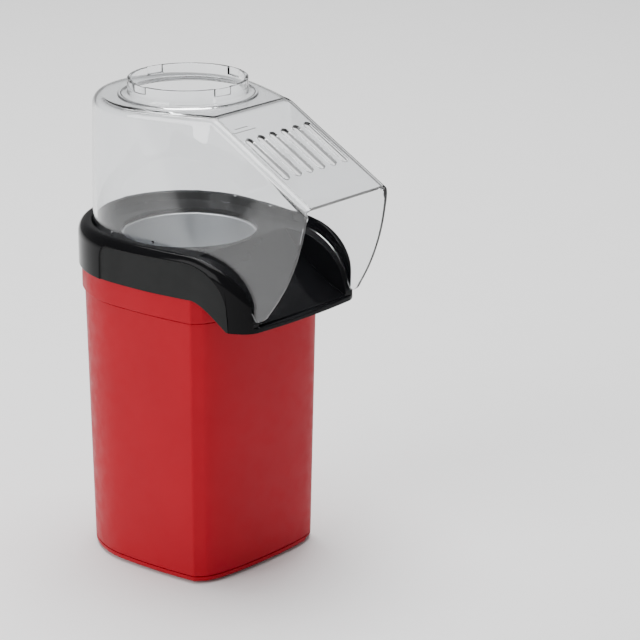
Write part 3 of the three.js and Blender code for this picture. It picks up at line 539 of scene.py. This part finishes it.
def hood_net():
    net = Net()
    stations = hood_stations()

    def side_spot(side, forward):
        return lambda half, z: (side * half, forward, z)

    def rear_spot(turn):
        return lambda half, z: (half * math.sin(turn), -half * math.cos(turn), z)

    left = [hood_column(f, side_spot(-1, f)) for f in reversed(stations)]
    right = [hood_column(f, side_spot(1, f)) for f in stations]
    turns = [math.radians(a) for a in range(-84, 85, 6)]
    rear = [hood_column(0, rear_spot(t)) for t in turns]
    columns = left + rear + right
    net.rows(columns, closed=False)
    # The flat roof runs from its outline to the ring of the neck's flange.
    flat_end = SLOPE_START - CREST_SOFT
    eaves = [c[-1] for c in columns if c[-1][1] <= flat_end + 0.001]
    (x0, _, z0) = eaves[0]
    cross = 24
    line = [(-x0 + 2 * x0 * i / cross, flat_end, z0) for i in range(1, cross)]
    outline = eaves + line
    flange = NECK_RADIUS + NECK_STEP
    profile = [(flange, HOOD_TOP), (flange, HOOD_TOP + 0.9), (flange - 0.3, HOOD_TOP + 1.2),
               (NECK_RADIUS + 1.2, HOOD_TOP + 1.2), (NECK_RADIUS + 0.35, HOOD_TOP + 1.55),
               (NECK_RADIUS, HOOD_TOP + 2.4), (NECK_RADIUS, NECK_TOP - 5), (NECK_RADIUS, NECK_TOP)]
    net.rows([outline] + [neck_ring(r, z, outline) for r, z in profile])
    # The crest bends in a few narrow bands.
    bands = [f for f in stations if flat_end - 0.001 <= f <= SLOPE_START + CREST_SOFT + 0.001]
    lines = []
    for f in bands:
        edge = hood_half(f, crest(f) - HOOD_ROUND) - HOOD_ROUND
        lines.append([(edge - 2 * edge * i / cross, f, crest(f)) for i in range(cross + 1)])
    net.rows(lines, closed=False)

    # The slope, with a cell for each slot.
    def eave(side, start, end):
        return [
            (side * (hood_half(f, crest(f) - HOOD_ROUND) - HOOD_ROUND), f, crest(f))
            for f in stations if start - 0.001 <= f <= end + 0.001
        ]

    upper, lower = VENT_LINES
    half_count = (VENT["count"] - 1) / 2
    middles = [(i - half_count) * VENT["pitch"] for i in range(VENT["count"])]
    walls = [m + VENT["pitch"] / 2 for m in middles[:-1]]
    corners = sorted(middles + walls)
    net.face(*lines[-1], *eave(-1, bands[-1], upper)[1:], *[(x, upper, crest(upper)) for x in corners],
             *reversed(eave(1, bands[-1], upper)[1:]))
    net.face(*reversed([(x, lower, crest(lower)) for x in corners]), *eave(-1, lower, FAR),
             *reversed(eave(1, lower, FAR)))
    for i, x in enumerate(middles):
        for side in (-1, 1):
            outer = i == (0 if side < 0 else len(middles) - 1)
            wall = eave(side, upper, lower) if outer else [
                (x + side * VENT["pitch"] / 2, f, crest(f)) for f in (upper, lower)
            ]
            slot = [on_slope(px, s) for px, s in vent_outline(x, side)]
            net.face((x, upper, crest(upper)), *wall, (x, lower, crest(lower)), *slot)
    return net


def notch_cutter():
    """Four shallow notches inside the neck's rim, for the lugs of a cap."""
    bore = NECK_RADIUS - HOOD_WALL
    made = None
    for i in range(NOTCH["count"]):
        turn = math.radians(NOTCH["first"] + 360 / NOTCH["count"] * i)
        half, drop = NOTCH["width"] / 2, NOTCH["drop"]
        outline = [(-half, 12), (-half, -drop), (half, -drop), (half, 12)]
        loops = []
        for radius in (bore - 3, bore + NOTCH["depth"]):
            loop = []
            for along, z in outline:
                x = radius * math.cos(turn) - along * math.sin(turn)
                y = radius * math.sin(turn) + along * math.cos(turn)
                loop.append((x, AXIS - y, NECK_TOP + z))
            loops.append(loop)
        one = solid_loft("notch", loops)
        made = one if made is None else combine(made, "UNION", one)
    return made


def bead(net, start, end):
    """A fine raised line on the slope, from one (across, along) to another."""
    steps = 8
    loops = []
    for across, along in (start, end):
        loop = []
        for i in range(steps):
            turn = 2 * math.pi * i / steps
            x, f, z = on_slope(across, along + SLOPE_LINE["radius"] * math.cos(turn))
            rise = SLOPE_LINE["lift"] * math.sin(turn)
            loop.append((x, f - rise * SLOPE * SLOPE_COS, z + rise * SLOPE_COS))
        loops.append(loop)
    net.rows(loops)
    net.face(*reversed(loops[0]))
    net.face(*loops[1])


def nub(net, side, forward):
    """A snap nub on the hood's wall, which is round behind the middle of the back and straight in front."""
    z = RIM_TOP + NUB["above_rim"]
    wide = hood_half(max(forward, 0), z)
    across = math.sqrt(wide * wide - forward * forward) if forward < 0 else wide
    ball = bmesh.ops.create_icosphere(net.bm, subdivisions=2, radius=NUB["radius"] * MM)
    bmesh.ops.translate(net.bm, verts=ball["verts"], vec=at((side * across, forward, z)))


def add_hood_marks(hood):
    """Two moulded lines on the slope, and two snap nubs on each side just above the rim."""
    net = Net()
    for ends in SLOPE_LINES:
        bead(net, *ends)
    for side in (-1, 1):
        for forward in NUB["forward"]:
            nub(net, side, forward)
    combine(hood, "UNION", object_of(net.mesh("marks"), CLEAR))


def near_mouth_corner(p):
    return MACHINE_Y - p.y > MOUTH_TOP[0] - CORNER_CLEAR and p.z > MOUTH_TOP[1] - CORNER_CLEAR


def build_hood():
    hood = object_of(hood_net().mesh("clear_hood"), CLEAR)
    wall = hood.modifiers.new("wall", "SOLIDIFY")
    wall.thickness = HOOD_WALL * MM
    wall.offset = -1
    wall.use_even_offset = True
    apply_all(hood)
    combine(hood, "DIFFERENCE", notch_cutter())
    round_marked(hood, EDGE_ROUND, 50, near_mouth_corner)
    apply_all(hood)
    add_hood_marks(hood)
    return settle(smooth(hood), "hood", "clear_plastic", "hood")


build_hood()


# ---------------------------------------------------------------- collar
LEDGE_EDGE = falling_edge(FLOOR_TOP, LEDGE_FALL, COLLAR_FOOT + 3)
CHUTE_EDGE = bend((CHUTE["start"], FLOOR_TOP), CHUTE["dip"], CHUTE["end"], 20)
SKIRT_EDGE = bend((60, COLLAR_LOW), (69, COLLAR_LOW - 1), (83, COLLAR_FOOT), 14)
PANEL_EDGE = [
    (-8, 150), *bend((-8, 190), (-8, 198.8), (-1, 199), 8),
    *bend((52, 200), (84.3, 200.2), (84.5, 168), 16), (84.5, 150),
]


def shifted(edge, by):
    return [(f, z + by) for f, z in edge]


def collar_bulk():
    plan = collar_plan()
    loops = [[(x, f, COLLAR_FOOT - 2) for x, f in plan]]
    for turn in (0, 12, 24, 36, 48, 60, 72, 83, 90):
        angle = math.radians(turn)
        drop = RIM_ROUND * 1.5 * (1 - math.sin(angle)) / (RIM_TOP - COLLAR_FOOT)
        loop = []
        for x, f in collar_plan(-RIM_ROUND * (1 - math.cos(angle))):
            rim = falling(RIM_TOP, RIM_FALL, COLLAR_FOOT + 3, f)
            loop.append((x, f, COLLAR_FOOT + (rim - COLLAR_FOOT) * (1 - drop)))
        loops.append(loop)
    return solid_loft("top_collar_shell", loops, strips=True)


def build_collar():
    collar = combine(collar_bulk(), "INTERSECT", above("skirt", SKIRT_EDGE))
    seat = combine(prism("seat", hood_plan(GAP), 0, FAR), "INTERSECT", above("ledge", LEDGE_EDGE))
    half, start = CHUTE["half"], CHUTE["start"]
    front = [(-half, start), (-half, FAR), (half, FAR), (half, start)]
    channel = combine(prism("channel", front, 0, FAR), "INTERSECT", above("chute", CHUTE_EDGE),
                      prism("within", hood_plan(GAP), 0, FAR))
    outer = [(-half - 2.4, start), (-half - 2.4, FAR), (half + 2.4, FAR), (half + 2.4, start)]
    room = combine(prism("room", collar_plan(-COLLAR_WALL), 0, FAR), "INTERSECT",
                   below("under_ledge", shifted(LEDGE_EDGE, -3)))
    room = combine(room, "DIFFERENCE", prism("keep", outer, 0, FAR))
    under = combine(prism("under", collar_plan(-COLLAR_WALL), 0, FAR), "INTERSECT", prism("ahead", outer, 0, FAR),
                    below("under_chute", shifted(CHUTE_EDGE, -3.75)))
    combine(collar, "DIFFERENCE", seat, channel, room, under)
    radius = CHAMBER["radius"] + CHAMBER["wall"]
    turns = [math.radians(3 * i) for i in range(120)]
    hole = [(-radius * math.sin(t), AXIS + radius * math.cos(t)) for t in turns]
    combine(collar, "DIFFERENCE", prism("hole", hole, 0, FAR))
    collar.data.materials.clear()
    collar.data.materials.append(BLACK)
    collar.data.materials.append(PANEL)
    for side in (-1, 1):
        panel = sideways("panel", PANEL_EDGE, 30, middle=side * 65)
        combine(panel, "DIFFERENCE", prism("core", collar_plan(-PANEL_DEPTH), 0, FAR))
        panel.data.materials.clear()
        panel.data.materials.append(BLACK)
        panel.data.materials.append(PANEL)
        for face in panel.data.polygons:
            face.material_index = 1
        combine(collar, "DIFFERENCE", panel)
    collar.name = "black_collar"
    round_edges(collar, 0.5)
    return settle(smooth(collar), "base", "black_plastic", "top_collar")


build_collar()


# ---------------------------------------------------------------- turned pieces
def turned(name, profile, sides=96, middle=(0, AXIS)):
    """A body turned about an upright axis from a closed profile of (radius, up)."""
    loops = []
    for radius, z in profile + profile[:1]:
        ring = []
        for i in range(sides):
            turn = -2 * math.pi * i / sides
            ring.append((middle[0] + radius * math.sin(turn), middle[1] + radius * math.cos(turn), z))
        loops.append(ring)
    net = Net()
    net.rows(loops)
    return object_of(net.mesh(name))


def rounded(profile, radius, steps=3):
    """A closed profile with each corner cut by a small arc."""
    made = []
    for i, corner in enumerate(profile):
        here = Vector(corner)
        arms = []
        for other in (profile[i - 1], profile[(i + 1) % len(profile)]):
            arm = Vector(other) - here
            arms.append(here + arm * min(0.45, radius / max(arm.length, 1e-6)))
        made += bend(tuple(arms[0]), tuple(here), tuple(arms[1]), steps)
    return made


def rear_wall(z):
    """How far back the outside of the wall is at a height, with the gap left for the fittings."""
    return BODY["radius"] * (1 + DRAFT * z) + GAP


def rear_turned(name, profile, sides=64):
    """A body turned about the line of the cord, from a closed profile of (radius, outwards)."""
    loops = []
    for radius, out in profile + profile[:1]:
        ring = []
        for i in range(sides):
            turn = 2 * math.pi * i / sides
            up = GLAND["z"] + radius * math.cos(turn)
            ring.append((radius * math.sin(turn), -rear_wall(GLAND["z"]) - out, up))
        loops.append(ring)
    net = Net()
    net.rows(loops)
    return object_of(net.mesh(name))


def rear_block(name, half, low, high, level, inner, outer):
    """A block on the back wall, from an inner to an outer distance from the wall at a level."""
    wall = rear_wall(level)
    outline = [(-wall - outer, low), (-wall - outer, high), (-wall - inner, high), (-wall - inner, low)]
    return sideways(name, outline, half)


# ---------------------------------------------------------------- body and base
def skirt_height(forward):
    if forward <= SKIRT_EDGE[0][0]:
        return COLLAR_LOW
    if forward >= SKIRT_EDGE[-1][0]:
        return COLLAR_FOOT
    return bend_height((60, COLLAR_LOW), (69, COLLAR_LOW - 1), (83, COLLAR_FOOT), forward)


def build_body():
    band = grown(body_plan(BODY["top"]), lambda f: BAND_STEP * band_fade(f))
    within = grown(body_plan(BODY["top"]), lambda f: min(0, (59 - 60.3) * band_fade(f)) - 0.2)
    net = Net()
    loops = []
    for rise, grow in ((0, -0.7), (0.1, -0.35), (0.35, -0.1), (0.8, 0)):
        loops.append([(x, f, BODY_LOW + rise) for x, f in body_plan(BODY_LOW + rise, grow)])
    for z in (*BODY_RINGS, BAND_START):
        loops.append([(x, f, z) for x, f in body_plan(z)])
    low = body_plan(BAND_START)
    sunk = body_plan(163.2, -GROOVE["depth"])
    loops.append([(x, f, GROOVE["low"]) for x, f in body_plan(GROOVE["low"])])
    loops.append([(x, f, GROOVE["low"] + 0.2) for x, f in sunk])
    loops.append([(x, f, GROOVE["high"]) for x, f in sunk])
    for share, rise in ((0.5, 0.1), (0.85, 0.25), (1, 0.7)):
        z = GROOVE["high"] + rise
        loops.append([(a + (c - a) * share, b + (d - b) * share, z) for (a, b), (c, d) in zip(low, band)])
    loops.append([(x, f, 170) for x, f in band])
    loops.append([(x, f, skirt_height(f) - GAP) for x, f in band])
    loops.append([(x, f, skirt_height(f) - GAP) for x, f in within])
    loops.append([(x, f, min(BODY_HIGH, skirt_height(f) + (8 if f < 40 else 0))) for x, f in within])
    net.rows(loops)
    body = object_of(net.mesh("red_body"), RED)
    wall = body.modifiers.new("wall", "SOLIDIFY")
    wall.thickness = SHELL_WALL * MM
    wall.offset = -1
    apply_all(body)
    wide, high = SWITCH["width"] / 2 + GAP, SWITCH["height"] / 2 + GAP
    window = rear_block("window", wide, SWITCH["z"] - high, SWITCH["z"] + high, SWITCH["z"], -12, 12)
    bore = rear_turned("bore", [(0, -12), (GLAND["radius"] + GAP, -12), (GLAND["radius"] + GAP, 12), (0, 12)])
    combine(body, "DIFFERENCE", window)
    combine(body, "DIFFERENCE", bore)
    body.data.materials.clear()
    body.data.materials.append(RED)
    return settle(smooth(body, 28), "base", "red_plastic", "body_shell")


def slot_ends(across, start, end, half):
    """The plan of a slot that runs forward with round ends."""
    outline = []
    for turn in range(0, 360, 30):
        angle = math.radians(turn)
        middle = end - half if turn < 180 else start + half
        outline.append((across + half * math.cos(angle), middle + half * math.sin(angle)))
    return outline


def intake_slots():
    """Slots across the base inside a circle about the axis, each crossed by two ribs."""
    half, rib = INTAKE["width"] / 2, INTAKE["rib"] / 2
    made = []
    for i in range(INTAKE["count"]):
        across = (i - (INTAKE["count"] - 1) / 2) * INTAKE["pitch"]
        reach = math.sqrt(INTAKE["radius"] ** 2 - across ** 2)
        stops = [-reach, -INTAKE["rib_at"] - rib, -INTAKE["rib_at"] + rib]
        stops += [-stop for stop in reversed(stops)]
        for start, end in zip(stops[::2], stops[1::2]):
            if end - start > 2 * half:
                made.append(prism("slot", slot_ends(across, AXIS + start, AXIS + end, half), -5, 12))
    return made


def build_base():
    loops = []
    for rise, grow in ((0, -1.3), (0.1, -0.9), (0.45, -0.35), (1, -0.05), (1.5, 0)):
        loops.append([(x, f, BASE_LOW + rise) for x, f in body_plan(0, grow)])
    for z, grow in ((BASE_HIGH - 0.3, 0), (BASE_HIGH, -0.3)):
        loops.append([(x, f, z) for x, f in body_plan(0, grow)])
    base = solid_loft("red_base", loops)
    notch = [(BODY["nose"][0] - 5, 57.8), (BODY["nose"][0] - 5, 80), (80, 80), (80, 57.8)]
    combine(base, "DIFFERENCE", prism("notch", notch, -5, 3.6))
    combine(base, "DIFFERENCE", *intake_slots())
    room, roof = FOOT["radius"] + GAP, FOOT["top"] + GAP
    for spot in FOOT_SPOTS:
        recess = [(0, -5), (room, -5), (room, roof), (0, roof)]
        combine(base, "DIFFERENCE", turned("recess", recess, 48, spot))
    mouth, head, seat, clearance = (SCREW_HOLE[key] for key in ("mouth", "head", "seat", "clearance"))
    for spot in SCREW_SPOTS:
        hole = [(0, -5), (mouth, -5), (head, 2), (head, seat), (clearance, seat), (clearance, 12), (0, 12)]
        combine(base, "DIFFERENCE", turned("screw_hole", hole, 32, spot))
    base.data.materials.clear()
    base.data.materials.append(RED)
    return settle(smooth(base, 28), "base", "red_plastic", "base_plate")


build_body()
build_base()


# ---------------------------------------------------------------- chamber, feet and back fittings
def louvre_cutter(turn):
    """A slit through the chamber's wall that leans to one side, at a turn about the axis."""
    lean = math.radians(LOUVRE["lean"])
    half, tall = LOUVRE["half_width"], LOUVRE["half_length"]
    loops = []
    for reach in (CHAMBER["radius"] - 4, CHAMBER["radius"] + 4):
        loop = []
        for along, up in ((-half, -tall), (half, -tall), (half, tall), (-half, tall)):
            side = along * math.cos(lean) + up * math.sin(lean)
            rise = up * math.cos(lean) - along * math.sin(lean)
            x = reach * math.sin(turn) + side * math.cos(turn)
            f = AXIS + reach * math.cos(turn) - side * math.sin(turn)
            loop.append((x, f, LOUVRE["z"] + rise))
        loops.append(loop)
    return solid_loft("slit", loops)


def build_chamber():
    top, bottom, radius, wall, lip = (CHAMBER[key] for key in ("top", "bottom", "radius", "wall", "lip"))
    waist = radius * 0.55
    profile = [
        (0.5, bottom + 5), (waist, bottom + 1.5), (radius - 3, bottom), (radius + wall, bottom + 3),
        (radius + wall, top - wall), (radius + lip, top - wall), (radius + lip, top), (radius, top),
        (radius, bottom + 4), (radius - 3.5, bottom + wall), (waist, bottom + 1.5 + wall), (0.5, bottom + 5 + wall),
    ]
    chamber = turned("spun_chamber", rounded(profile, 0.9))
    chamber.data.materials.append(SPUN)
    for i in range(LOUVRE["count"]):
        combine(chamber, "DIFFERENCE", louvre_cutter(2 * math.pi * i / LOUVRE["count"]))
    return settle(smooth(chamber), "base", "spun_aluminium", "popping_chamber")


def build_feet():
    radius, top, bore = FOOT["radius"], FOOT["top"], FOOT["bore"]
    profile = [(bore, 0), (radius - 1.6, 0), (radius - 1.2, 0.35), (radius - 0.6, 0.35), (radius, 0.9),
               (radius, top), (bore, top)]
    for i, spot in enumerate(FOOT_SPOTS):
        foot = turned(f"foot_{i + 1}", rounded(profile, 0.3, 2), 48, spot)
        foot.data.materials.append(RUBBER)
        settle(smooth(foot), "base", "black_rubber", f"rubber_foot_{i + 1}")


def build_switch():
    wide, high, z = SWITCH["width"] / 2, SWITCH["height"] / 2, SWITCH["z"]
    edge, rise, depth = SWITCH["flange"], SWITCH["rise"], SWITCH["depth"]
    bezel = rear_block("switch", wide + edge, z - high - edge, z + high + edge, z, 0, rise)
    round_edges(bezel, 1.1, segments=4)
    apply_all(bezel)
    box = rear_block("box", wide, z - high, z + high, z, 0.5 - depth, rise / 2)
    well_wide, well_high = ROCKER["width"] / 2 + GAP, ROCKER["height"] / 2 + 1
    combine(bezel, "UNION", box)
    combine(bezel, "DIFFERENCE",
            rear_block("well", well_wide, z - well_high, z + well_high, z, 4.5 - depth, 4.5))
    for step in (-5, 0, 5):
        tab = rear_block("tab", 2.4, z + step - 0.4, z + step + 0.4, z, -depth - 6, -depth + 1)
        combine(bezel, "UNION", tab)
    bezel.name = "switch_frame"
    bezel.data.materials.clear()
    bezel.data.materials.append(INNER)
    round_edges(bezel, 0.3)
    settle(smooth(bezel), "base", "inner_black_plastic", "switch_housing")


def build_rocker():
    """A shallow dished V seen from the side, tilted so that one end stands proud."""
    half = ROCKER["height"] / 2
    lift = half * math.tan(math.radians(ROCKER["tilt"]))
    dish = []
    for i in range(13):
        share = i / 6 - 1
        dish.append((-ROCKER["crown"] - lift * abs(share) ** 1.3, half * -share))
    outline = [(3, -half + 0.8), (ROCKER["depth"], -3), (ROCKER["depth"], 3), (3, half - 0.8)] + dish
    lean = math.radians(ROCKER["tilt"])
    placed = []
    for f, up in outline:
        back = -f * math.cos(lean) - up * math.sin(lean)
        rise = -f * math.sin(lean) + up * math.cos(lean)
        placed.append((-rear_wall(SWITCH["z"]) + 0.5 - back, SWITCH["z"] + rise))
    button = sideways("switch_button", placed, ROCKER["width"] / 2)
    button.data.materials.append(BLACK)
    round_edges(button, 0.35)
    settle(smooth(button), "rocker", "inner_black_plastic", "switch_rocker")


def build_gland():
    reach, bore, flange, inner, thick = (GLAND[key] for key in ("radius", "bore", "flange", "inner", "thick"))
    deep = -SHELL_WALL - 2 * GAP - 0.4
    profile = [(bore, deep - thick), (inner, deep - thick), (inner, deep), (reach, deep), (reach, 0), (flange, 0),
               (flange - 0.2, 0.6), (flange - 1.1, thick), (bore + 0.5, thick), (bore, thick - 0.5)]
    gland = rear_turned("cable_gland", profile)
    gland.data.materials.append(RUBBER)
    round_edges(gland, 0.2)
    settle(smooth(gland), "base", "black_rubber", "cord_gland")


build_chamber()
build_feet()
build_switch()
build_rocker()
build_gland()


# ---------------------------------------------------------------- stage
def lamp(name, power, size, place, target=(0, 0, 0.13)):
    data = bpy.data.lights.new(name, "AREA")
    data.energy = power
    data.shape = "RECTANGLE"
    data.size, data.size_y = size
    made = bpy.data.objects.new(name, data)
    made.location = place
    made.rotation_euler = (Vector(target) - Vector(place)).to_track_quat("-Z", "Y").to_euler()
    bpy.context.scene.collection.objects.link(made)


def build_stage():
    reach = 8
    net = bmesh.new()
    signs = ((-1, -1), (1, -1), (1, 1), (-1, 1))
    net.faces.new([net.verts.new((reach * a, reach * b, 0)) for a, b in signs])
    data = bpy.data.meshes.new("floor")
    net.to_mesh(data)
    net.free()
    pale = finish("pale_floor", (0.86, 0.86, 0.86), 0.7, grain=3, relief=0.01, mottle=0.004)
    object_of(data, pale)
    world = bpy.data.worlds.new("studio")
    world.use_nodes = True
    backdrop = world.node_tree.nodes["Background"]
    backdrop.inputs["Color"].default_value = (1, 1, 1, 1)
    backdrop.inputs["Strength"].default_value = 0.4
    bpy.context.scene.world = world
    lamp("key", 30, (1.2, 1.2), (-1.9, 0.35, 1.0))
    lamp("strip", 1.6, (0.12, 0.7), (0.12, -1.5, 0.16), (0, 0, 0.16))
    lamp("top", 125, (2.0, 2.0), (0.3, 0.5, 2.6))


def build_camera():
    data = bpy.data.cameras.new("camera")
    data.sensor_width = 36
    data.lens = 159.15
    data.clip_end = 50
    made = bpy.data.objects.new("camera", data)
    made.location = (-1.1451, -1.0952, 0.6836)
    target = Vector((0.05406, -0.02699, 0.13928))
    made.rotation_euler = (target - made.location).to_track_quat("-Z", "Y").to_euler()
    bpy.context.scene.collection.objects.link(made)
    bpy.context.scene.camera = made


build_stage()
build_camera()
